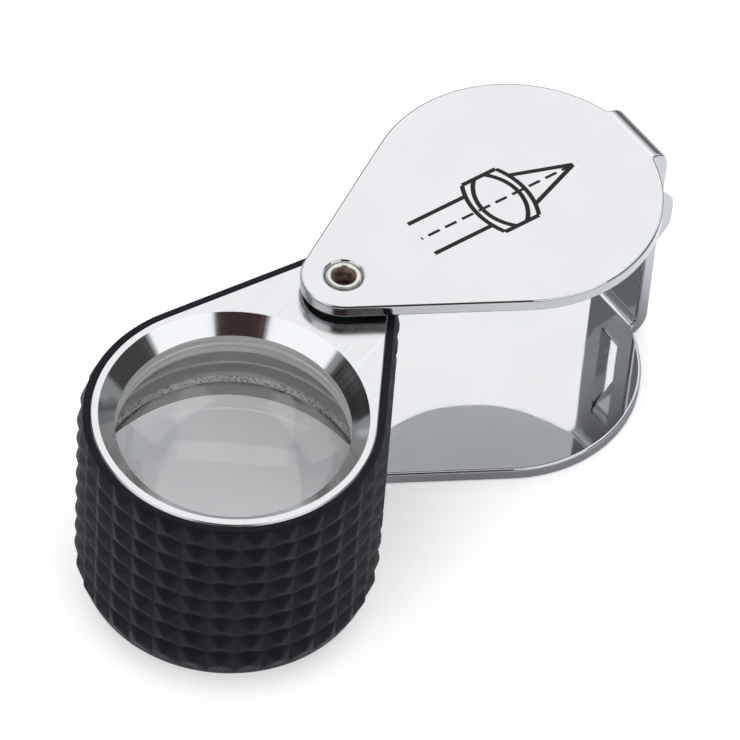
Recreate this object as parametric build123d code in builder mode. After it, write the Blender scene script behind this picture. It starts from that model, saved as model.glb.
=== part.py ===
from build123d import *
from math import acos, asin, atan2, cos, degrees, radians, sin, sqrt
import os

os.makedirs("parts", exist_ok=True)

# A folding loupe. Millimetres and degrees. The origin is on the pivot axis, at the underside of
# the case. +X runs along the case, from the pivot to its spine, and +Z is up the pivot axis.

# Folded steel case
sheet = 1.2
case_height = 21.5
case_radius = 11.6
case_reach = 16.5
case_tip_radius = 3.38
spine_outside = 29.4
spine_width = 6.0
fold_radius = 1.8
notch_radius = 0.4
case_edge_round = 0.25

# Lanyard bridge, sheared and pushed out of the spine
bridge_width = 2.0
bridge_thickness = 1.0
bridge_rise = 2.95
bridge_half_crown = 1.3
bridge_half_span = 4.9
bridge_foot = 0.6
bridge_bend = 1.5
shear_gap = 0.1

# Lens body, which swings on the pivot
open_angle = -157.4
lens_reach = 15.34
body_radius = 10.93
body_tip_radius = 3.68
body_height = 17.65
body_edge = 0.12
aperture_radius = 9.0
bevel_radius = 10.31
lip_thickness = 0.7

# Rubber grip
grip_clearance = 0.03
grip_end_gap = 0.08
stud_root = 0.57
stud_height = 0.42
stud_overrun = 0.08
stud_rows = 8
stud_columns = 38
stud_offset = 0.27
row_height = 2.074
grip_rim = 0.1
hem_taper = 20
rim_taper = 45

# Lens cell, lenses and retaining ring
cell_radius = 10.0
thread_clearance = 0.05
cell_recess = 0.3
lens_radius = 9.5
lens_clearance = 0.05
outer_sphere = 20.0
inner_sphere = 12.84
triplet_thickness = 15.4
crown_thickness = 11.4
cement = 0.02
ring_inside = 8.9
ring_height = 2.0
ring_bevel = 0.4
ring_gap = 0.02
notch_width = 1.4
notch_depth = 0.9

# Pivot
rivet_radius = 1.1
rivet_bore = 0.8
rivet_lip_radius = 1.32
rivet_round = 0.08
rivet_flare = 0.3
rivet_mouth = 0.95
rivet_sink = 0.03
dimple_radius = 1.62
dimple_floor_radius = 1.4
dimple_depth = 0.32
dimple_round = 0.3
dimple_floor_round = 0.1
pivot_clearance = 0.05
washer_thickness = 0.5
washer_radius = 2.6
spring_sheet = 0.2


def sphere_drop(sphere, radius):
    """How far a sphere's surface falls from its apex to that radius."""
    return sphere - sqrt(sphere**2 - radius**2)


# Levels up the pivot axis
floor_top = sheet
roof_bottom = case_height - sheet
body_top = roof_bottom - washer_thickness
body_bottom = body_top - body_height
spring_height = body_bottom - washer_thickness - floor_top
spine_inside = spine_outside - sheet
lens_middle = (body_top + body_bottom) / 2
lens_top = lens_middle + triplet_thickness / 2
lens_bottom = lens_middle - triplet_thickness / 2
lip_top = body_top - (bevel_radius - aperture_radius)
lip_bottom = lip_top - lip_thickness
crown_top = lens_middle + crown_thickness / 2
crown_bottom = lens_middle - crown_thickness / 2
seat_inner = lens_top - sphere_drop(outer_sphere, aperture_radius)
seat_outer = lens_top - sphere_drop(outer_sphere, lens_radius)
ring_top = lens_bottom + sphere_drop(outer_sphere, ring_inside) - ring_gap
ring_bottom = ring_top - ring_height
studs_top = body_top - grip_end_gap - grip_rim
studs_bottom = studs_top - stud_rows * row_height
grip_hem = studs_bottom - body_bottom - grip_end_gap
stud_slope = degrees(atan2(stud_height + stud_overrun, row_height / 2))
spring_top = floor_top + spring_height

# Bends of the bridge and corners of the upper rivet dimple, in the section through the pivot axis
bridge_middle = case_height / 2
bridge_end = bridge_half_span + bridge_foot
bridge_inset = spine_outside - sheet / 2
bridge_crown = spine_outside + bridge_rise - bridge_thickness / 2
bridge_bends = [
    (bridge_inset, bridge_middle - bridge_end),
    (bridge_inset, bridge_middle - bridge_half_span),
    (bridge_crown, bridge_middle - bridge_half_crown),
    (bridge_crown, bridge_middle + bridge_half_crown),
    (bridge_inset, bridge_middle + bridge_half_span),
    (bridge_inset, bridge_middle + bridge_end),
]
dimple_corners = [
    (0, case_height),
    (dimple_radius, case_height),
    (dimple_floor_radius, case_height - dimple_depth),
    (0, case_height - dimple_depth),
]

# Directions of the open lens body
body_dir = Vector(cos(radians(open_angle)), sin(radians(open_angle)), 0)
lens_centre = body_dir * lens_reach
lens_axis = Axis(lens_centre, (0, 0, 1))
lens_section = Plane(origin=lens_centre, x_dir=body_dir, z_dir=body_dir.cross(Vector(0, 0, 1)))
pivot_section = Plane.XZ


def body_plane(height):
    """Level plane with its X from the pivot towards the lens axis."""
    return Plane(origin=(0, 0, height), x_dir=body_dir, z_dir=(0, 0, 1))


def teardrop_wire(big_radius, tip_radius, reach):
    """Round end about (reach, 0) and round tip about the pivot, joined by their tangents.

    The wire starts and ends at the point furthest from the pivot.
    """
    tangent = acos((big_radius - tip_radius) / reach)
    across = Vector(-cos(tangent), sin(tangent))
    back = Vector(-cos(tangent), -sin(tangent))
    centre = Vector(reach, 0)
    half_turn = (degrees(tangent) - 180) / 2
    left_mid = centre + Vector(big_radius, 0).rotate(Axis.Z, -half_turn)
    right_mid = centre + Vector(big_radius, 0).rotate(Axis.Z, half_turn)
    far_end = (reach + big_radius, 0)
    with BuildLine() as outline:
        ThreePointArc(far_end, left_mid, centre + across * big_radius)
        Line(centre + across * big_radius, across * tip_radius)
        ThreePointArc(across * tip_radius, (-tip_radius, 0), back * tip_radius)
        Line(back * tip_radius, centre + back * big_radius)
        ThreePointArc(centre + back * big_radius, right_mid, far_end)
    return outline.wire()


def teardrop(big_radius, tip_radius, reach):
    return Face(teardrop_wire(big_radius, tip_radius, reach))


def stud_plan():
    """Plan of the grip's stud columns: a zigzag between the roots and the ridges of the studs.

    The first groove is a part of a column past the point furthest from the pivot.
    """
    root = teardrop_wire(body_radius + stud_root, body_tip_radius + stud_root, lens_reach)
    corners = []
    for i in range(2 * stud_columns):
        along = (i / 2 + stud_offset) / stud_columns
        outward = (root % along).cross(Vector(0, 0, 1))
        corners.append((root @ along) + outward * (stud_height * (i % 2)))
    return Face(Wire.make_polygon(corners))


def dome(apex, sphere, rise):
    """Arc from the lens axis out to the lens edge, falling from its apex if rise is 1."""
    slope = asin(lens_radius / sphere)
    middle = (sphere * sin(slope / 2), apex - rise * sphere * (1 - cos(slope / 2)))
    edge = (lens_radius, apex - rise * sphere * (1 - cos(slope)))
    return ThreePointArc((0, apex), middle, edge)


case_plan = teardrop(case_radius, case_tip_radius, case_reach)
body_plan = teardrop(body_radius, body_tip_radius, lens_reach)
root_plan = teardrop(body_radius + stud_root, body_tip_radius + stud_root, lens_reach)
sleeve_plan = teardrop(body_radius + grip_clearance, body_tip_radius + grip_clearance, lens_reach)
ridge_plan = stud_plan()

# The case is one strip of sheet: two teardrop plates joined by a folded spine.
with BuildPart() as cover:
    with BuildSketch(pivot_section) as folded:
        with Locations((spine_outside - case_radius * 2, case_height / 2)):
            Rectangle(case_radius * 4, case_height)
        fold_corners = folded.vertices().group_by(Axis.X)[-1]
        fillet(fold_corners, fold_radius)
        with Locations((spine_inside - case_radius * 2, case_height / 2)):
            Rectangle(case_radius * 4, case_height - 2 * sheet, mode=Mode.SUBTRACT)
        inner_corners = folded.vertices().sort_by_distance((spine_inside, floor_top))[0:1]
        inner_corners += folded.vertices().sort_by_distance((spine_inside, roof_bottom))[0:1]
        fillet(inner_corners, fold_radius - sheet)
    extrude(amount=case_radius + 1, both=True)
    with BuildSketch() as plan:
        add(case_plan)
        with Locations((spine_outside / 2 + case_reach / 2, 0)):
            Rectangle(spine_outside - case_reach, spine_width)
        notch_x = case_reach + sqrt(case_radius**2 - (spine_width / 2) ** 2)
        notches = plan.vertices().sort_by_distance((notch_x, spine_width / 2))[0:1]
        notches += plan.vertices().sort_by_distance((notch_x, -spine_width / 2))[0:1]
        fillet(notches, notch_radius)
    extrude(amount=case_height, mode=Mode.INTERSECT)
    seams = cover.edges().filter_by(Axis.Y).filter_by(lambda edge: edge.length > spine_width - 0.01)
    uprights = cover.edges().filter_by(Axis.Z).filter_by(lambda edge: edge.length < sheet + 0.01)
    fillet(cover.edges() - seams - uprights, case_edge_round)
    with BuildSketch(pivot_section) as opening:
        with Locations(((spine_inside + spine_outside) / 2, case_height / 2)):
            Rectangle(2 * sheet, 2 * bridge_half_span + bridge_thickness)
    extrude(amount=bridge_width / 2 + shear_gap, both=True, mode=Mode.SUBTRACT)
    with BuildSketch(pivot_section) as bridge:
        with BuildLine():
            FilletPolyline(*bridge_bends, radius=bridge_bend)
        trace(line_width=bridge_thickness)
    extrude(amount=bridge_width / 2, both=True)
    with BuildSketch(pivot_section) as dimple:
        with BuildLine():
            Polyline(*dimple_corners, close=True)
        make_face()
    revolve(axis=Axis.Z, mode=Mode.SUBTRACT)
    with BuildSketch(pivot_section) as lower_dimple:
        with BuildLine():
            Polyline(*[(r, case_height - z) for r, z in dimple_corners], close=True)
        make_face()
    revolve(axis=Axis.Z, mode=Mode.SUBTRACT)
    circles = cover.edges().filter_by(GeomType.CIRCLE)
    fillet(circles.filter_by(lambda edge: abs(edge.radius - dimple_radius) < 0.001), dimple_round)
    circles = cover.edges().filter_by(GeomType.CIRCLE)
    dimple_floors = circles.filter_by(lambda edge: abs(edge.radius - dimple_floor_radius) < 0.001)
    fillet(dimple_floors, dimple_floor_round)
    with BuildSketch() as rivet_holes:
        Circle(rivet_radius)
    extrude(amount=case_height, mode=Mode.SUBTRACT)
cover.part.label = "cover"
export_step(cover.part, "parts/cover.step")

# The lens housing is a teardrop block, bored from below for the cell and bevelled above.
with BuildPart() as lens_housing:
    with BuildSketch(body_plane(body_bottom)):
        add(body_plan)
    extrude(amount=body_height)
    ends = lens_housing.faces().sort_by(Axis.Z)
    chamfer(ends[-1].edges() + ends[0].edges(), body_edge)
    with BuildSketch(lens_section) as bore:
        with BuildLine():
            Polyline(
                (0, body_bottom),
                (cell_radius + thread_clearance, body_bottom),
                (cell_radius + thread_clearance, lip_bottom),
                (aperture_radius, lip_bottom),
                (aperture_radius, lip_top),
                (bevel_radius, body_top),
                (0, body_top),
                close=True,
            )
        make_face()
    revolve(axis=lens_axis, mode=Mode.SUBTRACT)
    with BuildSketch(body_plane(body_bottom)) as pivot_hole:
        Circle(rivet_radius + pivot_clearance)
    extrude(amount=body_height, mode=Mode.SUBTRACT)
lens_housing.part.label = "lens_housing"
export_step(lens_housing.part, "parts/lens_housing.step")

# The rubber grip is a sleeve over the whole side of the housing, moulded in rows of pyramid studs,
# with a narrow rim above them and a plain hem below.
with BuildPart() as rubber_grip:
    for row in range(stud_rows):
        root_below = studs_bottom + row * row_height
        with BuildSketch(body_plane(root_below)):
            add(root_plan)
        extrude(amount=row_height / 2, taper=-stud_slope)
        with BuildSketch(body_plane(root_below + row_height)):
            add(root_plan)
        extrude(amount=-row_height / 2, taper=-stud_slope)
    with BuildSketch(body_plane(studs_bottom)):
        add(ridge_plan)
    extrude(amount=stud_rows * row_height, mode=Mode.INTERSECT)
    with BuildSketch(body_plane(studs_top)):
        add(root_plan)
    extrude(amount=grip_rim, taper=rim_taper)
    with BuildSketch(body_plane(studs_bottom)):
        add(root_plan)
    extrude(amount=-grip_hem, taper=hem_taper)
    with BuildSketch(body_plane(body_bottom)):
        add(sleeve_plan)
    extrude(amount=body_height, mode=Mode.SUBTRACT)
rubber_grip.part.label = "rubber_grip"
export_step(rubber_grip.part, "parts/rubber_grip.step")

# The cell is a threaded tube. The top lens element seats against its lip.
with BuildPart() as lens_cell:
    with BuildSketch(lens_section):
        with BuildLine():
            Polyline(
                (aperture_radius, lip_bottom),
                (cell_radius, lip_bottom),
                (cell_radius, body_bottom + cell_recess),
                (lens_radius + lens_clearance, body_bottom + cell_recess),
                (lens_radius + lens_clearance, seat_outer),
                (aperture_radius, seat_inner),
                close=True,
            )
        make_face()
    revolve(axis=lens_axis)
lens_cell.part.label = "lens_cell"
export_step(lens_cell.part, "parts/lens_cell.step")

# The triplet is a thick crown lens cemented between two flint menisci.
with BuildPart() as upper_lens:
    with BuildSketch(lens_section):
        with BuildLine():
            outside = dome(lens_top, outer_sphere, 1)
            inside = dome(crown_top + cement, inner_sphere, 1)
            Line(outside @ 0, inside @ 0)
            Line(outside @ 1, inside @ 1)
        make_face()
    revolve(axis=lens_axis)
upper_lens.part.label = "upper_lens"
export_step(upper_lens.part, "parts/upper_lens.step")

with BuildPart() as middle_lens:
    with BuildSketch(lens_section):
        with BuildLine():
            above = dome(crown_top, inner_sphere, 1)
            below = dome(crown_bottom, inner_sphere, -1)
            Line(above @ 0, below @ 0)
            Line(above @ 1, below @ 1)
        make_face()
    revolve(axis=lens_axis)
middle_lens.part.label = "middle_lens"
export_step(middle_lens.part, "parts/middle_lens.step")

with BuildPart() as lower_lens:
    with BuildSketch(lens_section):
        with BuildLine():
            inside = dome(crown_bottom - cement, inner_sphere, -1)
            outside = dome(lens_bottom, outer_sphere, -1)
            Line(inside @ 0, outside @ 0)
            Line(inside @ 1, outside @ 1)
        make_face()
    revolve(axis=lens_axis)
lower_lens.part.label = "lower_lens"
export_step(lower_lens.part, "parts/lower_lens.step")

# The retaining ring screws into the cell from below and has two slots for a pin spanner.
with BuildPart() as retaining_ring:
    with BuildSketch(lens_section):
        with BuildLine():
            Polyline(
                (ring_inside, ring_top),
                (lens_radius, ring_top),
                (lens_radius, ring_bottom),
                (ring_inside + ring_bevel, ring_bottom),
                (ring_inside, ring_bottom + ring_bevel),
                close=True,
            )
        make_face()
    revolve(axis=lens_axis)
    with BuildSketch(body_plane(ring_bottom)) as spanner_slots:
        with Locations((lens_reach, 0)):
            Rectangle(notch_width, 3 * lens_radius)
    extrude(amount=notch_depth, mode=Mode.SUBTRACT)
retaining_ring.part.label = "retaining_ring"
export_step(retaining_ring.part, "parts/retaining_ring.step")

# The pivot is a tubular rivet, rolled over alike at both ends in the dimples of the case.
with BuildPart() as pivot_rivet:
    with BuildSketch(pivot_section):
        with BuildLine():
            Polyline(
                (rivet_bore, case_height / 2),
                (rivet_radius, case_height / 2),
                (rivet_radius, case_height - dimple_depth),
                (rivet_lip_radius, case_height - dimple_depth),
                (rivet_lip_radius, case_height - dimple_depth / 2),
                (rivet_lip_radius - rivet_round, case_height - rivet_sink),
                (rivet_mouth, case_height - rivet_sink),
                (rivet_bore, case_height - rivet_sink - rivet_flare),
                close=True,
            )
        make_face()
    revolve(axis=Axis.Z)
    mirror(about=Plane.XY.offset(case_height / 2))
pivot_rivet.part.label = "pivot_rivet"
export_step(pivot_rivet.part, "parts/pivot_rivet.step")

# Washers keep the housing clear of the case, and a dished spring washer takes up the play.
with BuildPart() as upper_washer:
    with BuildSketch(Plane.XY.offset(body_top)):
        Circle(washer_radius)
        Circle(rivet_radius + pivot_clearance, mode=Mode.SUBTRACT)
    extrude(amount=washer_thickness)
upper_washer.part.label = "upper_washer"
export_step(upper_washer.part, "parts/upper_washer.step")

with BuildPart() as lower_washer:
    with BuildSketch(Plane.XY.offset(body_bottom - washer_thickness)):
        Circle(washer_radius)
        Circle(rivet_radius + pivot_clearance, mode=Mode.SUBTRACT)
    extrude(amount=washer_thickness)
lower_washer.part.label = "lower_washer"
export_step(lower_washer.part, "parts/lower_washer.step")

with BuildPart() as spring_washer:
    with BuildSketch(pivot_section):
        with BuildLine():
            Polyline(
                (rivet_radius + pivot_clearance, spring_top - spring_sheet),
                (washer_radius, floor_top),
                (washer_radius, floor_top + spring_sheet),
                (rivet_radius + pivot_clearance, spring_top),
                close=True,
            )
        make_face()
    revolve(axis=Axis.Z)
spring_washer.part.label = "spring_washer"
export_step(spring_washer.part, "parts/spring_washer.step")
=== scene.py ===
import math

import bmesh
import bpy
from mathutils import Matrix, Vector


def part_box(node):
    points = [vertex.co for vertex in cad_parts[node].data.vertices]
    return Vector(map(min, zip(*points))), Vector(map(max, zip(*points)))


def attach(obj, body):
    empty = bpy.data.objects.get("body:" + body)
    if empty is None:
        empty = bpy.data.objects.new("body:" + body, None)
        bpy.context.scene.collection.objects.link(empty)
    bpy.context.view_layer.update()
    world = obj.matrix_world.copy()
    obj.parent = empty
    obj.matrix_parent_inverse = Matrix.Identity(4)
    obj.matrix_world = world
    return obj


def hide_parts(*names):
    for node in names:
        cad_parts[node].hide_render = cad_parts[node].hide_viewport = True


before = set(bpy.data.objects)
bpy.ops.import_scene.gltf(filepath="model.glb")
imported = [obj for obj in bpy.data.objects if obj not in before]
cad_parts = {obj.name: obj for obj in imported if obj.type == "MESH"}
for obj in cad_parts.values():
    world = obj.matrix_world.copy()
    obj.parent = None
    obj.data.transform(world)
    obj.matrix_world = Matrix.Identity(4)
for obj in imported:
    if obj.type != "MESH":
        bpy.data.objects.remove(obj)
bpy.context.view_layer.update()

MM = 0.001

# ---------------------------------------------------------------- places read from the CAD frame
ring_low, ring_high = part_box("retaining_ring")
cell_low, cell_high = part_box("lens_cell")
rivet_low, rivet_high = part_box("pivot_rivet")
case_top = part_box("cover")[1].z
grip_low, grip_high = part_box("rubber_grip")
lens_axis = Vector(((ring_low.x + ring_high.x) / 2, (ring_low.y + ring_high.y) / 2, 0))
body_dir = lens_axis.normalized()
body_side = Vector((0, 0, 1)).cross(body_dir)
lens_reach = lens_axis.length
body_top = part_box("lens_housing")[1].z
body_frame = Matrix((body_dir, body_side, Vector((0, 0, 1)))).transposed().to_4x4()
lens_frame = Matrix.Translation(lens_axis) @ body_frame

# ---------------------------------------------------------------- camera
CAMERA_AZIMUTH = math.radians(-38.71)
CAMERA_ELEVATION = math.radians(49.08)
CAMERA_ROLL = math.radians(4.614)
CAMERA_DISTANCE = 426.06 * MM
CAMERA_LENS = 274.1
AIM_RIGHT = 10.264 * MM
AIM_UP = 3.316 * MM


def make_camera():
    back = Vector((
        math.sin(CAMERA_AZIMUTH) * math.cos(CAMERA_ELEVATION),
        -math.cos(CAMERA_AZIMUTH) * math.cos(CAMERA_ELEVATION),
        math.sin(CAMERA_ELEVATION),
    ))
    level = Vector((math.cos(CAMERA_AZIMUTH), math.sin(CAMERA_AZIMUTH), 0))
    rise = back.cross(level)
    right = level * math.cos(CAMERA_ROLL) + rise * math.sin(CAMERA_ROLL)
    up = rise * math.cos(CAMERA_ROLL) - level * math.sin(CAMERA_ROLL)
    aim = lens_axis + Vector((0, 0, body_top)) + right * AIM_RIGHT + up * AIM_UP
    data = bpy.data.cameras.new("camera")
    data.lens = CAMERA_LENS
    data.clip_start = 10 * MM
    data.clip_end = 20000 * MM
    camera = bpy.data.objects.new("camera", data)
    bpy.context.scene.collection.objects.link(camera)
    turn = Matrix((right, up, back)).transposed()
    camera.matrix_world = Matrix.Translation(aim + back * CAMERA_DISTANCE) @ turn.to_4x4()
    bpy.context.scene.camera = camera


# ---------------------------------------------------------------- node helpers
class Nodes:
    """Builds a material's nodes with short calls. Places are in millimetres."""

    def __init__(self, name):
        self.material = bpy.data.materials.new(name)
        self.material.use_nodes = True
        self.tree = self.material.node_tree
        self.shader = self.tree.nodes["Principled BSDF"]

    def node(self, kind, **settings):
        made = self.tree.nodes.new(kind)
        for key, value in settings.items():
            setattr(made, key, value)
        return made

    def link(self, source, target):
        self.tree.links.new(source, target)

    def feed(self, socket, value):
        if isinstance(value, (int, float, tuple)):
            socket.default_value = value
        else:
            self.link(value, socket)

    def set(self, **values):
        for key, value in values.items():
            self.feed(self.shader.inputs[key.replace("_", " ")], value)

    def math(self, operation, a, b=0.0, c=0.0):
        made = self.node("ShaderNodeMath", operation=operation)
        for socket, value in zip(made.inputs, (a, b, c)):
            self.feed(socket, value)
        return made.outputs[0]

    def length(self, x, y):
        squares = self.math("ADD", self.math("MULTIPLY", x, x), self.math("MULTIPLY", y, y))
        return self.math("SQRT", squares)

    def place(self, frame_matrix=None, stretch=(1, 1, 1)):
        """Object coordinates in millimetres, in a frame, stretched along its axes."""
        coordinates = self.node("ShaderNodeTexCoord").outputs["Object"]
        if frame_matrix is not None:
            moved = self.node("ShaderNodeMapping", vector_type="TEXTURE")
            moved.inputs["Location"].default_value = frame_matrix.to_translation()
            moved.inputs["Rotation"].default_value = frame_matrix.to_euler()
            self.link(coordinates, moved.inputs["Vector"])
            coordinates = moved.outputs[0]
        scaled = self.node("ShaderNodeMapping")
        scaled.inputs["Scale"].default_value = [s / MM for s in stretch]
        self.link(coordinates, scaled.inputs["Vector"])
        return scaled.outputs[0]

    def split(self, vector):
        parts = self.node("ShaderNodeSeparateXYZ")
        self.link(vector, parts.inputs[0])
        return parts.outputs

    def noise(self, place, scale=1.0, detail=3.0, roughness=0.5, distortion=0.0):
        made = self.node("ShaderNodeTexNoise")
        self.link(place, made.inputs["Vector"])
        made.inputs["Scale"].default_value = scale
        made.inputs["Detail"].default_value = detail
        made.inputs["Roughness"].default_value = roughness
        made.inputs["Distortion"].default_value = distortion
        return made.outputs["Fac"]

    def noise_along(self, distance, detail):
        made = self.node("ShaderNodeTexNoise", noise_dimensions="1D")
        self.link(distance, made.inputs["W"])
        made.inputs["Detail"].default_value = detail
        return made.outputs["Fac"]

    def ramp(self, value, low, high, out_low=0.0, out_high=1.0):
        made = self.node("ShaderNodeMapRange", interpolation_type="SMOOTHSTEP")
        made.inputs["From Min"].default_value = low
        made.inputs["From Max"].default_value = high
        made.inputs["To Min"].default_value = out_low
        made.inputs["To Max"].default_value = out_high
        self.link(value, made.inputs["Value"])
        return made.outputs[0]

    def blend(self, factor, first, second):
        made = self.node("ShaderNodeMix", data_type="RGBA")
        self.feed(made.inputs["Factor"], factor)
        for key, color in (("A", first), ("B", second)):
            socket = [s for s in made.inputs if s.name == key and s.type == "RGBA"][0]
            self.feed(socket, (*color, 1.0) if isinstance(color, tuple) else color)
        return [s for s in made.outputs if s.type == "RGBA"][0]

    def bump(self, height, depth_mm, strength=1.0, below=None):
        made = self.node("ShaderNodeBump")
        made.inputs["Strength"].default_value = strength
        made.inputs["Distance"].default_value = depth_mm * MM
        self.link(height, made.inputs["Height"])
        if below is not None:
            self.link(below, made.inputs["Normal"])
        return made.outputs[0]


# ---------------------------------------------------------------- mark printed on the top plate
MARK_CENTRE = (14.8, -0.2)
MARK_HALF_LINE = 0.19
MARK_LENS_HALF_HEIGHT = 2.9
MARK_OUTER_ARC = (-3.75, 6.1)
MARK_INNER_ARC = (-2.18, 3.92)
MARK_RIM_HALF = 1.62
MARK_REACH = 7.6
MARK_RAY = 1.8
MARK_FOCUS = 7.1
MARK_BLUR = 0.03
MARK_DASHES_PER_MM = 0.62
MARK_DASH_SHARE = 0.68
MARK_DASH_SHIFT = 0.3
MARK_AXIS_HALF_LINE = 0.13
MARK_DEPTH = 0.05


def printed_mark(n):
    """Mask of a plain diagram: two parallel rays meet behind a cemented triplet, on a dashed axis.

    An arc is (centre along the axis, radius).
    """
    centre = Vector((MARK_CENTRE[0] * MM, MARK_CENTRE[1] * MM, case_top))
    x, y, z = n.split(n.place(Matrix.Translation(centre)))
    side = n.math("ABSOLUTE", y)
    along = n.math("ABSOLUTE", x)

    def stroke(distance, half=MARK_HALF_LINE):
        return n.ramp(n.math("ABSOLUTE", distance), half + MARK_BLUR, half - MARK_BLUR)

    def between(value, low, high):
        above = n.math("GREATER_THAN", value, low)
        return n.math("MULTIPLY", above, n.math("LESS_THAN", value, high))

    def arc(centre_x, radius):
        from_centre = n.length(n.math("SUBTRACT", along, centre_x), y)
        rim = n.math("SUBTRACT", from_centre, radius)
        return n.math("MULTIPLY", stroke(rim), between(side, -1, MARK_LENS_HALF_HEIGHT))

    def ray(start_x, end_x, start_level, end_level):
        slope = (end_level - start_level) / (end_x - start_x)
        level = n.math("MULTIPLY_ADD", x, slope, start_level - slope * start_x)
        across = n.math("MULTIPLY", n.math("SUBTRACT", side, level), 1 / math.hypot(1, slope))
        return n.math("MULTIPLY", stroke(across), between(x, start_x, end_x))

    phase = n.math("FRACT", n.math("MULTIPLY_ADD", x, MARK_DASHES_PER_MM, MARK_DASH_SHIFT))
    dash = n.math("LESS_THAN", phase, MARK_DASH_SHARE)
    axis_line = stroke(y, MARK_AXIS_HALF_LINE)
    axis = n.math("MULTIPLY", axis_line, between(x, -MARK_REACH, MARK_REACH))
    rims = n.math("MULTIPLY", stroke(n.math("SUBTRACT", side, MARK_LENS_HALF_HEIGHT)),
                  between(along, -1, MARK_RIM_HALF))
    glass_x = math.sqrt(MARK_OUTER_ARC[1] ** 2 - MARK_RAY ** 2) + MARK_OUTER_ARC[0]
    shapes = [
        n.math("MULTIPLY", axis, dash),
        rims,
        arc(*MARK_OUTER_ARC),
        arc(*MARK_INNER_ARC),
        ray(-MARK_REACH, -glass_x, MARK_RAY, MARK_RAY),
        ray(glass_x, MARK_FOCUS, MARK_RAY, 0.0),
    ]
    mask = shapes[0]
    for shape in shapes[1:]:
        mask = n.math("MAXIMUM", mask, shape)
    return n.math("MULTIPLY", mask, n.math("GREATER_THAN", z, -MARK_DEPTH))


# ---------------------------------------------------------------- materials
CHROME = (0.565, 0.57, 0.58)
NICKEL = (0.60, 0.585, 0.55)
SPRING_STEEL = (0.5, 0.51, 0.53)
INK = (0.012, 0.012, 0.014)
NYLON_DARK = (0.012, 0.012, 0.013)
NYLON_PALE = (0.022, 0.022, 0.024)
ANODISED_DARK = (0.016, 0.016, 0.018)
ANODISED_PALE = (0.034, 0.034, 0.037)
TURNED_DARK = (0.58, 0.59, 0.57)
TURNED_PALE = (0.76, 0.77, 0.75)
GROUND_DARK = (0.78, 0.79, 0.76)
GROUND_PALE = (0.94, 0.95, 0.92)
# Painted glints: bright and dark specks on the lens bevels.
GLINT_DARK_PAINTED = (0.08, 0.08, 0.08)
GLINT_PALE_PAINTED = (0.99, 0.99, 0.96)
GLASS_CLEAR = (1.0, 1.0, 1.0)
GLASS_COATED = (0.996, 0.996, 0.998)
BORE_DARK = (0.16, 0.10, 0.075)
BORE_PALE = (0.42, 0.34, 0.29)
RUBBER_DARK = (0.0034, 0.0032, 0.0056)
RUBBER_PALE = (0.0054, 0.0050, 0.0088)
RUBBER_SHEEN = (0.86, 0.83, 1.0, 1.0)


def shaded(color, factor):
    return tuple(c * factor for c in color)


def scratches(n, frame_matrix, turn, density):
    """Sparse fine hairlines running one way, as a height from 0 to 1."""
    turned = frame_matrix @ Matrix.Rotation(turn, 4, "Z")
    fine = n.noise(n.place(turned, (0.07, 9.0, 3.0)), 1.0, 2.0)
    patch = n.noise(n.place(turned, (0.25, 0.3, 0.3)), 1.0, 1.0)
    line = n.ramp(fine, 0.72 - density, 0.78 - density)
    return n.math("MULTIPLY", line, n.ramp(patch, 0.45, 0.7))


def chrome_material():
    n = Nodes("case_chrome_plate")
    mask = printed_mark(n)
    cloud = n.noise(n.place(None, (0.16, 0.16, 0.16)), 1.0, 3.0)
    haze = n.noise(n.place(None, (1.3, 1.3, 1.3)), 1.0, 4.0)
    hair = scratches(n, Matrix.Identity(4), 0.3, 0.02)
    tint = n.blend(n.ramp(cloud, 0.3, 0.7), CHROME, shaded(CHROME, 0.965))
    polish = n.ramp(haze, 0.3, 0.75, 0.028, 0.055)
    metal_rough = n.math("ADD", polish, n.math("MULTIPLY", hair, 0.05))
    rough = n.math("MULTIPLY_ADD", mask, 0.4, metal_rough)
    wave = n.noise(n.place(None, (0.2, 0.2, 0.2)), 1.0, 1.0)
    waves = n.bump(wave, 0.012)
    lines = n.bump(hair, 0.0004, below=waves)
    n.set(Base_Color=n.blend(mask, tint, INK), Metallic=n.math("SUBTRACT", 1.0, mask),
          Roughness=rough, Specular_IOR_Level=0.12, Normal=lines)
    return n.material


def brushed_material():
    """Housing top: ground with a belt along the body, so hairlines run from the pivot to the lens."""
    n = Nodes("housing_brushed_top")
    fine = n.noise(n.place(body_frame, (0.16, 11.0, 1.0)), 1.0, 4.0, 0.6)
    coarse = n.noise(n.place(body_frame, (0.05, 3.4, 1.0)), 1.0, 2.0, 0.5)
    patch = n.noise(n.place(body_frame, (0.18, 0.18, 0.18)), 1.0, 2.0)
    streak = n.math("MULTIPLY_ADD", coarse, 0.35, fine)
    tint = n.blend(n.ramp(streak, 0.45, 1.05), shaded(CHROME, 0.95), shaded(CHROME, 1.04))
    rough = n.math("ADD", n.ramp(streak, 0.4, 1.1, 0.12, 0.2), n.ramp(patch, 0.3, 0.7, 0.0, 0.04))
    n.set(Base_Color=tint, Metallic=1.0, Roughness=rough, Normal=n.bump(streak, 0.003))
    return n.material


def turned_material():
    """Housing bevel: bright turned metal with circular tool lines about the lens axis."""
    n = Nodes("housing_turned_bevel")
    x, y, z = n.split(n.place(lens_frame))
    slope = n.math("SUBTRACT", n.length(x, y), z)
    rings = n.noise_along(n.math("MULTIPLY", slope, 9.0), 4.0)
    spokes = n.noise_along(n.math("MULTIPLY", n.math("ARCTAN2", y, x), 16.0), 3.0)
    streak = n.math("MULTIPLY_ADD", spokes, 0.7, n.math("MULTIPLY", rings, 0.3))
    tint = n.blend(n.ramp(streak, 0.35, 0.65), shaded(CHROME, 1.06), shaded(CHROME, 1.13))
    n.set(Base_Color=tint, Metallic=1.0, Roughness=n.ramp(streak, 0.3, 0.7, 0.08, 0.14),
          Normal=n.bump(rings, 0.0012))
    return n.material


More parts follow.
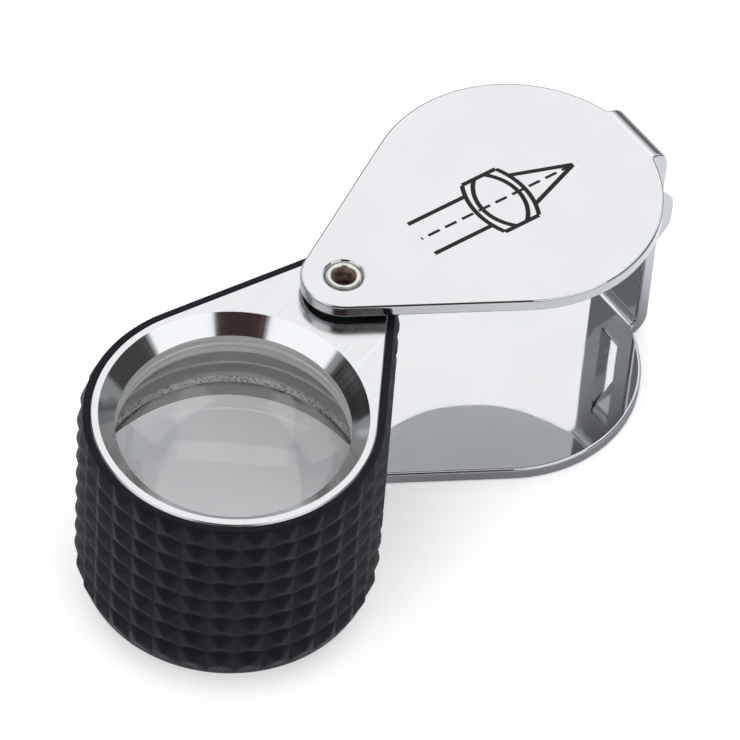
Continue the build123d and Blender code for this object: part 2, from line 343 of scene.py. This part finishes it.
def wall_material():
    """Housing sides, underside and bores: satin plated metal."""
    n = Nodes("housing_satin_wall")
    grain = n.noise(n.place(lens_frame, (0.6, 0.6, 6.0)), 1.0, 3.0)
    n.set(Base_Color=n.blend(grain, shaded(CHROME, 0.8), CHROME), Metallic=1.0,
          Roughness=n.ramp(grain, 0.3, 0.7, 0.2, 0.34), Normal=n.bump(grain, 0.003))
    return n.material


def rubber_material():
    """Moulded rubber: fine grain, with patches that are handled more than others."""
    n = Nodes("grip_black_rubber")
    speck = n.noise(n.place(lens_frame, (1, 1, 1)), 7.0, 5.0, 0.65)
    cloud = n.noise(n.place(lens_frame, (1, 1, 1)), 0.35, 3.0)
    n.set(Base_Color=n.blend(n.ramp(cloud, 0.35, 0.65), RUBBER_DARK, RUBBER_PALE),
          Roughness=n.ramp(speck, 0.3, 0.75, 0.34, 0.52), Normal=n.bump(speck, 0.02, 0.8),
          Specular_IOR_Level=0.12, Specular_Tint=RUBBER_SHEEN)
    return n.material


def rivet_material():
    """Rolled ends of the rivet: nickel, with rings left by the rolling tool."""
    n = Nodes("rivet_nickel_plate")
    x, y, z = n.split(n.place())
    rings = n.noise_along(n.math("MULTIPLY_ADD", n.length(x, y), 7.0, n.math("MULTIPLY", z, 3.0)), 3.0)
    cloud = n.noise(n.place(), 1.4, 3.0)
    n.set(Base_Color=n.blend(n.ramp(cloud, 0.35, 0.65), NICKEL, shaded(NICKEL, 0.86)), Metallic=1.0,
          Roughness=n.ramp(rings, 0.3, 0.7, 0.14, 0.26), Normal=n.bump(rings, 0.006))
    return n.material


def spring_material():
    n = Nodes("spring_blue_steel")
    grain = n.noise(n.place(), 4.0, 4.0)
    n.set(Base_Color=n.blend(grain, shaded(SPRING_STEEL, 0.82), SPRING_STEEL), Metallic=1.0,
          Roughness=n.ramp(grain, 0.3, 0.7, 0.2, 0.32), Normal=n.bump(grain, 0.004))
    return n.material


def nylon_material():
    n = Nodes("washer_black_nylon")
    grain = n.noise(n.place(), 6.0, 3.0)
    n.set(Base_Color=n.blend(grain, NYLON_DARK, NYLON_PALE),
          Roughness=n.ramp(grain, 0.3, 0.7, 0.45, 0.6), Normal=n.bump(grain, 0.006))
    return n.material


def glass_material(name, ior):
    """Polished glass, with an uneven coating too thin to see on its own."""
    n = Nodes(name)
    film = n.noise(n.place(lens_frame, (1, 1, 1)), 0.3, 2.0)
    n.set(Base_Color=n.blend(film, GLASS_COATED, GLASS_CLEAR),
          Transmission_Weight=1.0, IOR=ior, Roughness=0.0, Specular_IOR_Level=0.28)
    return n.material


def ground_glass_material():
    """Ground rims of the lenses: matt grey-white, cut in circles."""
    n = Nodes("lens_ground_rim")
    lines = n.noise(n.place(lens_frame, (0.25, 0.25, 7.0)), 1.0, 3.0)
    cloud = n.noise(n.place(lens_frame, (1, 1, 1)), 0.5, 3.0)
    shade = n.math("MULTIPLY_ADD", lines, 0.5, n.math("MULTIPLY", cloud, 0.5))
    n.set(Base_Color=n.blend(n.ramp(shade, 0.3, 0.7), GROUND_DARK, GROUND_PALE),
          Roughness=n.ramp(lines, 0.3, 0.7, 0.5, 0.75), Normal=n.bump(lines, 0.01))
    return n.material


def bevel_glass_material():
    """Small bevels round the joints: painted glints, bright and dark specks that stand in for sparkle
    of light, in a matt ground.
    """
    n = Nodes("lens_rim_bevel")
    speck = n.noise(n.place(lens_frame, (1, 1, 1)), 8.0, 3.0, 0.7)
    n.set(Base_Color=n.blend(n.ramp(speck, 0.4, 0.48), GLINT_DARK_PAINTED, GLINT_PALE_PAINTED),
          Roughness=n.ramp(speck, 0.3, 0.7, 0.3, 0.5), Normal=n.bump(speck, 0.03))
    return n.material


def bore_material():
    """Bore of the rivet: dull, browned metal."""
    n = Nodes("rivet_bore_dull")
    cloud = n.noise(n.place(), 2.2, 4.0)
    n.set(Base_Color=n.blend(n.ramp(cloud, 0.35, 0.65), BORE_DARK, BORE_PALE), Metallic=0.7,
          Roughness=n.ramp(cloud, 0.3, 0.7, 0.4, 0.6), Normal=n.bump(cloud, 0.01))
    return n.material


def cell_material(name):
    """Satin grey metal with tool lines round the lens axis."""
    n = Nodes(name)
    lines = n.noise(n.place(lens_frame, (0.2, 0.2, 9.0)), 1.0, 3.0)
    n.set(Base_Color=n.blend(n.ramp(lines, 0.3, 0.7), TURNED_DARK, TURNED_PALE),
          Metallic=0.35, Roughness=n.ramp(lines, 0.3, 0.7, 0.5, 0.66), Normal=n.bump(lines, 0.006))
    return n.material


def ring_material():
    n = Nodes("ring_black_anodised")
    lines = n.noise(n.place(lens_frame, (0.3, 0.3, 6.0)), 1.0, 3.0)
    n.set(Base_Color=n.blend(lines, ANODISED_DARK, ANODISED_PALE), Metallic=0.6,
          Roughness=n.ramp(lines, 0.3, 0.7, 0.32, 0.5), Normal=n.bump(lines, 0.006))
    return n.material


# ---------------------------------------------------------------- mesh helpers
def finish_mesh(bm, name, sharp_angle=35):
    bmesh.ops.recalc_face_normals(bm, faces=bm.faces)
    limit = math.radians(sharp_angle)
    for face in bm.faces:
        face.smooth = True
    for edge in bm.edges:
        if len(edge.link_faces) == 2 and edge.calc_face_angle(0) > limit:
            edge.smooth = False
    mesh = bpy.data.meshes.new(name)
    bm.to_mesh(mesh)
    bm.free()
    piece = bpy.data.objects.new(name, mesh)
    bpy.context.scene.collection.objects.link(piece)
    return piece


def lathe(name, profile, centre, segments=96, finishes=None):
    """Turns a closed (radius, height) profile, in metres, about a vertical axis.

    finishes gives the material of each stretch of the profile. A point on the axis becomes one vertex.
    """
    bm = bmesh.new()
    rings = []
    for r, z in profile:
        if r < 1e-9:
            rings.append([bm.verts.new((centre.x, centre.y, z))] * segments)
            continue
        ring = []
        for k in range(segments):
            a = 2 * math.pi * k / segments
            ring.append(bm.verts.new((centre.x + r * math.cos(a), centre.y + r * math.sin(a), z)))
        rings.append(ring)
    for i, ring in enumerate(rings):
        following = rings[(i + 1) % len(rings)]
        if ring[0] is ring[1] and following[0] is following[1]:
            continue
        for k in range(segments):
            m = (k + 1) % segments
            corners = list(dict.fromkeys((ring[k], ring[m], following[m], following[k])))
            face = bm.faces.new(corners)
            face.material_index = finishes[i] if finishes else 0
    return finish_mesh(bm, name)


# ---------------------------------------------------------------- rubber grip
BODY_RADIUS = 10.93 * MM
TIP_RADIUS = 3.68 * MM
SLEEVE_GAP = 0.03 * MM
STUD_ROOT = 0.57 * MM
STUD_HEIGHT = 0.39 * MM
STUD_COLUMNS = 38
STUD_ROWS = 8
ROW_HEIGHT = 2.074 * MM
STUD_OFFSET = 0.27
GRIP_RIM = 0.1 * MM
STUD_STEPS = (0.0, 0.05, 0.14, 0.24, 0.34, 0.43, 0.5, 0.57, 0.66, 0.76, 0.86, 0.95)
STUD_WEAR = 0.13
GRIP_SHARP_ANGLE = 28


class Outline:
    """The body's teardrop outline, measured along the line of the stud roots.

    It starts at the point furthest from the pivot and runs anticlockwise seen from above.
    """

    def __init__(self):
        self.big = BODY_RADIUS + STUD_ROOT
        self.tip = TIP_RADIUS + STUD_ROOT
        self.turn = math.acos((BODY_RADIUS - TIP_RADIUS) / lens_reach)
        self.half_big = self.big * (math.pi - self.turn)
        self.flank = lens_reach * math.sin(self.turn)
        self.half_tip = self.tip * self.turn
        self.length = 2 * (self.half_big + self.flank + self.half_tip)

    def at(self, along):
        """Root point and outward direction, in the row frame, at a fraction of the length."""
        distance = (along % 1.0) * self.length
        mirrored = distance > self.length / 2
        if mirrored:
            distance = self.length - distance
        if distance < self.half_big:
            angle = distance / self.big
            centre_x, radius, slide = lens_reach, self.big, 0.0
        elif distance < self.half_big + self.flank:
            angle = math.pi - self.turn
            centre_x, radius, slide = lens_reach, self.big, distance - self.half_big
        else:
            angle = math.pi - self.turn + (distance - self.half_big - self.flank) / self.tip
            centre_x, radius, slide = 0.0, self.tip, 0.0
        out_x, out_y = math.cos(angle), math.sin(angle)
        x = centre_x + radius * out_x - out_y * slide
        y = radius * out_y + out_x * slide
        if mirrored:
            y, out_y = -y, -out_y
        return body_dir * x + body_side * y, body_dir * out_x + body_side * out_y


def stud_rise(u, v):
    """Height of a stud from 0 to 1, at a place from -1 to 1 across it: a pyramid with worn ridges."""
    reach = min(1.0, (abs(u) ** 10 + abs(v) ** 10) ** 0.1)
    fall = math.hypot(reach, STUD_WEAR) - STUD_WEAR
    return 1 - fall / (math.hypot(1, STUD_WEAR) - STUD_WEAR)


def make_grip(material):
    """Studded sleeve, built from strips that run over the rim, down the studs and round the hem."""
    outline = Outline()
    top = grip_high.z
    bottom = grip_low.z
    studs_top = top - GRIP_RIM
    hem = studs_top - STUD_ROWS * ROW_HEIGHT - bottom
    columns = [(c, s) for c in range(STUD_COLUMNS) for s in STUD_STEPS]
    rows = [(r, s) for r in range(STUD_ROWS) for s in STUD_STEPS] + [(STUD_ROWS, 0.0)]
    bm = bmesh.new()
    grid = []
    for column, across in columns:
        root, out = outline.at((column + across + STUD_OFFSET) / STUD_COLUMNS)
        strip = [root - out * (STUD_ROOT - SLEEVE_GAP) + Vector((0, 0, top))]
        strip.append(root - out * (GRIP_RIM * 1.6) + Vector((0, 0, top)))
        strip.append(root - out * (GRIP_RIM * 0.4) + Vector((0, 0, top - GRIP_RIM * 0.35)))
        for row, down in rows:
            rise = stud_rise(across * 2 - 1, down * 2 - 1) * STUD_HEIGHT
            level = studs_top - (row + down) * ROW_HEIGHT
            strip.append(root + out * rise + Vector((0, 0, level)))
        strip.append(root - out * (hem * 0.1) + Vector((0, 0, bottom + hem * 0.55)))
        strip.append(root - out * (hem * 0.3) + Vector((0, 0, bottom + hem * 0.1)))
        strip.append(root - out * (hem * 0.42) + Vector((0, 0, bottom)))
        strip.append(root - out * (STUD_ROOT - SLEEVE_GAP) + Vector((0, 0, bottom)))
        grid.append([bm.verts.new(point) for point in strip])
    count = len(grid)
    for i in range(count):
        here, there = grid[i], grid[(i + 1) % count]
        for k in range(len(here)):
            m = (k + 1) % len(here)
            bm.faces.new((here[k], here[m], there[m], there[k]))
    grip = finish_mesh(bm, "studded_grip", GRIP_SHARP_ANGLE)
    grip.data.materials.append(material)
    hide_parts("rubber_grip")
    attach(grip, "lens_body")


# ---------------------------------------------------------------- rivet
RIVET_END = (
    (1.10, -0.95), (1.10, -0.31), (1.14, -0.285), (1.26, -0.27), (1.305, -0.22), (1.32, -0.15),
    (1.305, -0.07), (1.27, -0.022), (1.21, -0.004), (1.13, 0.0), (1.05, -0.01), (0.99, -0.045),
    (0.95, -0.12), (0.90, -0.25), (0.84, -0.45), (0.80, -0.95),
)
RIVET_MOUTH = 12
RIVET_SEGMENTS = 64


def make_rivet(outside, inside):
    """Tubular rivet with both ends rolled over to a flat lip. Its bore is left dull.

    RIVET_END lists (radius, height above the lip) in millimetres, from the shank over the lip and down
    into the bore, which begins at point RIVET_MOUTH.
    """
    bottom, top = rivet_low.z, rivet_high.z
    profile = [(r * MM, top + z * MM) for r, z in RIVET_END]
    profile += [(r * MM, bottom - z * MM) for r, z in reversed(RIVET_END)]
    count = len(profile)
    finishes = [1 if RIVET_MOUTH <= i < count - RIVET_MOUTH - 1 else 0 for i in range(count)]
    rivet = lathe("rolled_rivet", profile, Vector((0, 0, 0)), RIVET_SEGMENTS, finishes)
    rivet.data.materials.append(outside)
    rivet.data.materials.append(inside)
    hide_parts("pivot_rivet")
    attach(rivet, "case")


# ---------------------------------------------------------------- lenses and their cell
LENS_RADIUS = 9.5 * MM
RIM_BEVEL = 0.18 * MM
FOOT_BEVEL = 0.36 * MM
OUTER_SPHERE = 20.0 * MM
INNER_SPHERE = 12.84 * MM
APERTURE_RADIUS = 9.0 * MM
BEVEL_RADIUS = 10.31 * MM
CEMENT = 0.02 * MM
FLINT_INDEX = 1.62
JOINT_INDEX = 1.066
CROWN_INDEX = 1.0
DOME_STEPS = 40
LENS_SEGMENTS = 128


def dome(apex, sphere, fall, edge):
    """Points of a spherical surface from the lens axis out to its edge."""
    reach = math.asin(edge / sphere)
    points = []
    for k in range(DOME_STEPS + 1):
        angle = reach * k / DOME_STEPS
        points.append((sphere * math.sin(angle), apex - fall * sphere * (1 - math.cos(angle))))
    return points


def make_lens(name, node, top, bottom, materials, faces, foot=RIM_BEVEL):
    """A lens between two domes, each (apex, sphere, fall), with bevelled and ground rims.

    faces gives the material of the upper surface, upper bevel, rim, lower bevel and lower surface.
    """
    upper = dome(*top, LENS_RADIUS - RIM_BEVEL)
    lower = dome(*bottom, LENS_RADIUS - foot)
    upper_rim = (LENS_RADIUS, upper[-1][1] - RIM_BEVEL * 0.7)
    lower_rim = (LENS_RADIUS, lower[-1][1] + foot * 0.7)
    profile = upper + [upper_rim, lower_rim] + lower[::-1]
    above, upper_bevel, rim, lower_bevel, below = faces
    finishes = [above] * DOME_STEPS + [upper_bevel, rim, lower_bevel] + [below] * DOME_STEPS + [above]
    lens = lathe(name, profile, lens_axis, LENS_SEGMENTS, finishes)
    for material in materials:
        lens.data.materials.append(material)
    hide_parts(node)
    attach(lens, "lens_body")


def make_triplet():
    """Flint, crown and flint. The joints carry only the step in index from one glass to the next."""
    flint_face = glass_material("lens_flint_polished", FLINT_INDEX)
    joint_face = glass_material("lens_cement_joint", JOINT_INDEX)
    crown_face = glass_material("lens_crown_joint", CROWN_INDEX)
    rim = ground_glass_material()
    bevel = bevel_glass_material()
    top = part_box("upper_lens")[1].z
    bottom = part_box("lower_lens")[0].z
    crown_bottom, crown_top = (corner.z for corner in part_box("middle_lens"))
    flint_materials = [flint_face, joint_face, rim, bevel]
    crown_materials = [crown_face, crown_face, rim, bevel]
    make_lens("upper_flint", "upper_lens", (top, OUTER_SPHERE, 1),
              (crown_top + CEMENT, INNER_SPHERE, 1), flint_materials, (0, 2, 2, 2, 1))
    make_lens("middle_crown", "middle_lens", (crown_top, INNER_SPHERE, 1),
              (crown_bottom, INNER_SPHERE, -1), crown_materials, (0, 2, 2, 2, 1))
    make_lens("lower_flint", "lower_lens", (crown_bottom - CEMENT, INNER_SPHERE, -1),
              (bottom, OUTER_SPHERE, -1), flint_materials, (1, 2, 2, 3, 0), FOOT_BEVEL)


CELL_RADIUS = 10.0 * MM
CELL_BORE = 9.55 * MM
CELL_THREAD_DEPTH = 0.25 * MM
CELL_THREAD_TURNS = 34
CELL_CHAMFER = 0.15 * MM
LIP_GROOVE = 0.03 * MM
LIP_GROOVES = 2


def make_cell(material):
    """Threaded tube with a lip. Tool grooves ring the part of the lip that shows above the lens."""
    lip_top = cell_high.z
    bottom = cell_low.z
    sag = OUTER_SPHERE - math.sqrt(OUTER_SPHERE ** 2 - APERTURE_RADIUS ** 2)
    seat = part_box("upper_lens")[1].z - sag
    profile = [(APERTURE_RADIUS + 0.12 * MM, lip_top), (CELL_RADIUS, lip_top)]
    pitch = (lip_top - bottom) / CELL_THREAD_TURNS
    for k in range(CELL_THREAD_TURNS):
        profile.append((CELL_RADIUS - CELL_THREAD_DEPTH, lip_top - (k + 0.5) * pitch))
        profile.append((CELL_RADIUS, lip_top - (k + 1) * pitch))
    profile.append((CELL_BORE + CELL_CHAMFER, bottom))
    profile.append((CELL_BORE, bottom + CELL_CHAMFER))
    profile.append((CELL_BORE, seat - 0.3 * MM))
    profile.append((APERTURE_RADIUS + 0.1 * MM, seat))
    step = (lip_top - 0.1 * MM - seat) / LIP_GROOVES
    for k in range(LIP_GROOVES):
        profile.append((APERTURE_RADIUS, seat + (k + 0.15) * step))
        profile.append((APERTURE_RADIUS, seat + (k + 0.75) * step))
        profile.append((APERTURE_RADIUS + LIP_GROOVE, seat + (k + 0.88) * step))
    cell = lathe("threaded_cell", profile, lens_axis, LENS_SEGMENTS)
    cell.data.materials.append(material)
    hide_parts("lens_cell")
    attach(cell, "lens_body")


# ---------------------------------------------------------------- finishes on the CAD nodes
def paint(node, materials, choose=None):
    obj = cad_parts[node]
    obj.data.materials.clear()
    for material in materials:
        obj.data.materials.append(material)
    for polygon in obj.data.polygons:
        polygon.material_index = choose(polygon) if choose else 0


def choose_housing(polygon):
    """0 brushed top, 1 turned bevel, 2 sides and underside, 3 lip round the aperture."""
    if polygon.center.z > body_top - 0.01 * MM and polygon.normal.z > 0.9:
        return 0
    from_axis = (polygon.center - lens_axis).to_2d().length
    if from_axis < APERTURE_RADIUS + 0.05 * MM:
        return 3
    return 1 if polygon.normal.z > 0.2 and from_axis < BEVEL_RADIUS else 2


# ---------------------------------------------------------------- studio
# Tones of the floor below are painted shade and light: a painted falloff from a darker front to a
# brighter back, painted shade far behind, a painted contact shadow under the case and a painted pool
# of light under the lens.
FLOOR_FRONT_PAINTED_SHADE = (0.80, 0.81, 0.825)
FLOOR_BACK_PAINTED_LIGHT = (0.97, 0.985, 1.0)
FLOOR_FAR_PAINTED_SHADE = (0.3, 0.31, 0.325)
FLOOR_PAINTED_SHADOW_UNDER_CASE = (0.37, 0.375, 0.39)
FLOOR_PAINTED_LIGHT_UNDER_LENS = (0.96, 0.975, 1.0)
FLOOR_SHOWN = (0.88, 0.885, 0.89)
FRONT_TO_BACK = (-10, 34)
BACK_TO_FAR = (41, 60)
PAINTED_SHADOW_FADE = (12, 21)
PAINTED_LIGHT_FADE = (6, 14)
FLOOR_GLOW = 0.1
SHOWN_GLOW = 0.3
CASE_CENTRE = Vector((16.5, 0, 0)) * MM
PAINTED_LIGHT_SPOT_CENTRE = Vector((-15.5, -5, 0)) * MM
FLOOR_RADIUS = 0.9
FLOOR_SIDES = 96
BACKDROP_RADIUS = 1.8
SOFTBOX_RADIANCE = 1.15
SWEEP_TOP = (1.5, 1.51, 1.52)
SWEEP_FOOT = (0.02, 0.02, 0.03)
BACK_GLOW = (1.15, 1.17, 1.2)
SIDE_GLOW = (0.8, 0.83, 0.86)
BROWN_GLOW = (0.058, 0.037, 0.03)
DARK_GREY_GLOW = (0.07, 0.07, 0.07)
BLACK_GLOW = (0.015, 0.015, 0.016)
SKY = (0.93, 0.97, 1.0, 1.0)
SKY_STRENGTH = 0.36


def stage_mesh(name, vertices, faces, material):
    mesh = bpy.data.meshes.new(name)
    mesh.from_pydata(vertices, [], faces)
    mesh.materials.append(material)
    piece = bpy.data.objects.new(name, mesh)
    bpy.context.scene.collection.objects.link(piece)
    return piece


def hide_from_all_but_camera(piece):
    piece.visible_diffuse = False
    piece.visible_glossy = False
    piece.visible_transmission = False
    piece.visible_shadow = False


def floor_disc(name, level, material):
    turns = [2 * math.pi * k / FLOOR_SIDES for k in range(FLOOR_SIDES)]
    rim = [(FLOOR_RADIUS * math.cos(turn), FLOOR_RADIUS * math.sin(turn), 0) for turn in turns]
    disc = stage_mesh(name, rim, [tuple(range(FLOOR_SIDES))], material)
    disc.location.z = level
    return disc


def distance_on_floor(n, centre):
    x, y, _ = n.split(n.place(Matrix.Translation(centre)))
    return n.length(x, y)


def make_floor():
    """A floor with painted shade and light, which lights the object, and over it the white one that
    the camera sees.

    The tones change over stretches of depth or distance in millimetres, such as FRONT_TO_BACK.
    """
    n = Nodes("floor_painted_shade_and_light")
    depth = n.split(n.place(Matrix.Rotation(CAMERA_AZIMUTH, 4, "Z")))[1]
    # Painted falloff of light: darker in front, brighter behind.
    shade = n.blend(n.ramp(depth, *FRONT_TO_BACK), FLOOR_FRONT_PAINTED_SHADE, FLOOR_BACK_PAINTED_LIGHT)
    # Painted shade far behind the object.
    shade = n.blend(n.ramp(depth, *BACK_TO_FAR), shade, FLOOR_FAR_PAINTED_SHADE)
    # Painted contact shadow under and round the case.
    from_case = distance_on_floor(n, CASE_CENTRE)
    shade = n.blend(n.ramp(from_case, *PAINTED_SHADOW_FADE), FLOOR_PAINTED_SHADOW_UNDER_CASE, shade)
    # Painted pool of light under the lens, on the camera's side of it.
    from_spot = distance_on_floor(n, PAINTED_LIGHT_SPOT_CENTRE)
    shade = n.blend(n.ramp(from_spot, *PAINTED_LIGHT_FADE), FLOOR_PAINTED_LIGHT_UNDER_LENS, shade)
    # The floor also glows a little in these painted tones.
    n.set(Base_Color=shade, Roughness=0.9, Specular_IOR_Level=0.1, Emission_Color=shade,
          Emission_Strength=FLOOR_GLOW)
    floor_disc("floor", -0.02 * MM, n.material).visible_camera = False
    n = Nodes("floor_white")
    n.set(Base_Color=(*FLOOR_SHOWN, 1.0), Roughness=0.9, Specular_IOR_Level=0.1,
          Emission_Color=(*FLOOR_SHOWN, 1.0), Emission_Strength=SHOWN_GLOW)
    hide_from_all_but_camera(floor_disc("floor_shown", -0.01 * MM, n.material))


def make_backdrop():
    """A white shell all round, which only the camera sees."""
    n = Nodes("backdrop_white")
    n.set(Base_Color=(0.0, 0.0, 0.0, 1.0), Roughness=1.0, Specular_IOR_Level=0.0,
          Emission_Color=(1.0, 1.0, 1.0, 1.0), Emission_Strength=1.0)
    bm = bmesh.new()
    bmesh.ops.create_icosphere(bm, subdivisions=4, radius=BACKDROP_RADIUS)
    mesh = bpy.data.meshes.new("backdrop")
    bm.to_mesh(mesh)
    bm.free()
    mesh.materials.append(n.material)
    shell = bpy.data.objects.new("backdrop", mesh)
    bpy.context.scene.collection.objects.link(shell)
    hide_from_all_but_camera(shell)


def studio_direction(azimuth, elevation):
    """Azimuth counts from the camera, positive to its right; 180 is behind the object."""
    a = CAMERA_AZIMUTH + math.radians(azimuth)
    e = math.radians(elevation)
    return Vector((math.sin(a) * math.cos(e), -math.cos(a) * math.cos(e), math.sin(e)))


def facing(azimuth, elevation, distance):
    """Placement at that distance, level across and turned to the object."""
    out = studio_direction(azimuth, elevation)
    across = Vector((0, 0, 1)).cross(out).normalized()
    turn = Matrix((across, out.cross(across), out)).transposed().to_4x4()
    return Matrix.Translation(out * distance) @ turn


def softbox(name, azimuth, elevation, distance, width, height, radiance, in_reflections=True):
    """A rectangular light. Its direction is in degrees and its distance and sizes are in metres."""
    data = bpy.data.lights.new(name, "AREA")
    data.shape = "RECTANGLE"
    data.size = width
    data.size_y = height
    data.energy = radiance * math.pi * width * height
    light = bpy.data.objects.new(name, data)
    bpy.context.scene.collection.objects.link(light)
    light.matrix_world = facing(azimuth, elevation, distance)
    light.visible_camera = False
    light.visible_glossy = in_reflections


def card(name, corners, distance, glow, top_glow=None):
    """A card that only reflections see, given by the (azimuth, elevation) of its corners.

    top_glow shades it evenly up to its highest corner.
    """
    n = Nodes(name)
    points = [studio_direction(*corner) * distance for corner in corners]
    shade = (*glow, 1.0)
    if top_glow is not None:
        heights = [point.z / MM for point in points]
        level = n.split(n.place())[2]
        shade = n.blend(n.ramp(level, min(heights), max(heights)), glow, top_glow)
    n.set(Base_Color=(0.0, 0.0, 0.0, 1.0), Roughness=1.0, Specular_IOR_Level=0.0,
          Emission_Color=shade, Emission_Strength=1.0)
    board = stage_mesh(name, points, [tuple(range(len(points)))], n.material)
    board.visible_camera = False
    board.visible_shadow = False
    board.visible_diffuse = False
    board.visible_transmission = False


def make_world():
    world = bpy.data.worlds.new("studio")
    bpy.context.scene.world = world
    world.use_nodes = True
    shade = world.node_tree.nodes["Background"]
    shade.inputs["Color"].default_value = SKY
    shade.inputs["Strength"].default_value = SKY_STRENGTH


def make_studio():
    make_camera()
    make_floor()
    make_backdrop()
    make_world()
    softbox("back_light", 180, 72, 1.1, 1.6, 1.32, SOFTBOX_RADIANCE)
    softbox("right_light", 48, 37, 1.1, 0.86, 0.62, SOFTBOX_RADIANCE)
    softbox("left_light", -52.5, 37, 1.1, 0.90, 0.62, SOFTBOX_RADIANCE)
    softbox("front_fill", 0, 60, 2.0, 2.4, 2.2, 1.0, in_reflections=False)
    sweep = [(140, -1), (-140, -1), (-140, 34.6), (140, 34.6)]
    brown = [(20, 14), (-20, 14), (-24, 62), (24, 62)]
    right_dark = [(75, 20), (89, 18.5), (113, 6), (113, 20), (75, 37)]
    right_low = [(70, 3), (104, 3), (88, 17), (70, 18.5)]
    left_dark = [(-84, -1), (-124, -1), (-124, 8), (-94, 22.2), (-84, 28)]
    left_high = [(-86, 29), (-95, 23), (-124, 9), (-124, 44), (-86, 44)]
    right_back = [(150, 12), (122, 12), (122, 56), (150, 56)]
    left_back = [(-150, 12), (-122, 12), (-122, 56), (-150, 56)]
    card("back_sweep", sweep, 1.6, SWEEP_FOOT, SWEEP_TOP)
    card("camera_side_card", brown, 0.68, BROWN_GLOW)
    card("right_card", right_dark, 0.9, DARK_GREY_GLOW)
    card("right_low_card", right_low, 0.95, SIDE_GLOW)
    card("left_card", left_dark, 0.9, BLACK_GLOW)
    card("right_back_card", right_back, 0.95, BACK_GLOW)
    card("left_back_card", left_back, 0.95, BACK_GLOW)
    card("left_high_card", left_high, 0.95, SIDE_GLOW)


make_studio()
make_grip(rubber_material())
make_rivet(rivet_material(), bore_material())
make_cell(cell_material("cell_turned_aluminium"))
make_triplet()
paint("cover", [chrome_material()])
housing_finishes = [
    brushed_material(),
    turned_material(),
    wall_material(),
    cell_material("housing_satin_lip"),
]
paint("lens_housing", housing_finishes, choose_housing)
washer = nylon_material()
paint("upper_washer", [washer])
paint("lower_washer", [washer])
paint("spring_washer", [spring_material()])
paint("retaining_ring", [ring_material()])

bpy.context.scene.view_settings.view_transform = "Standard"
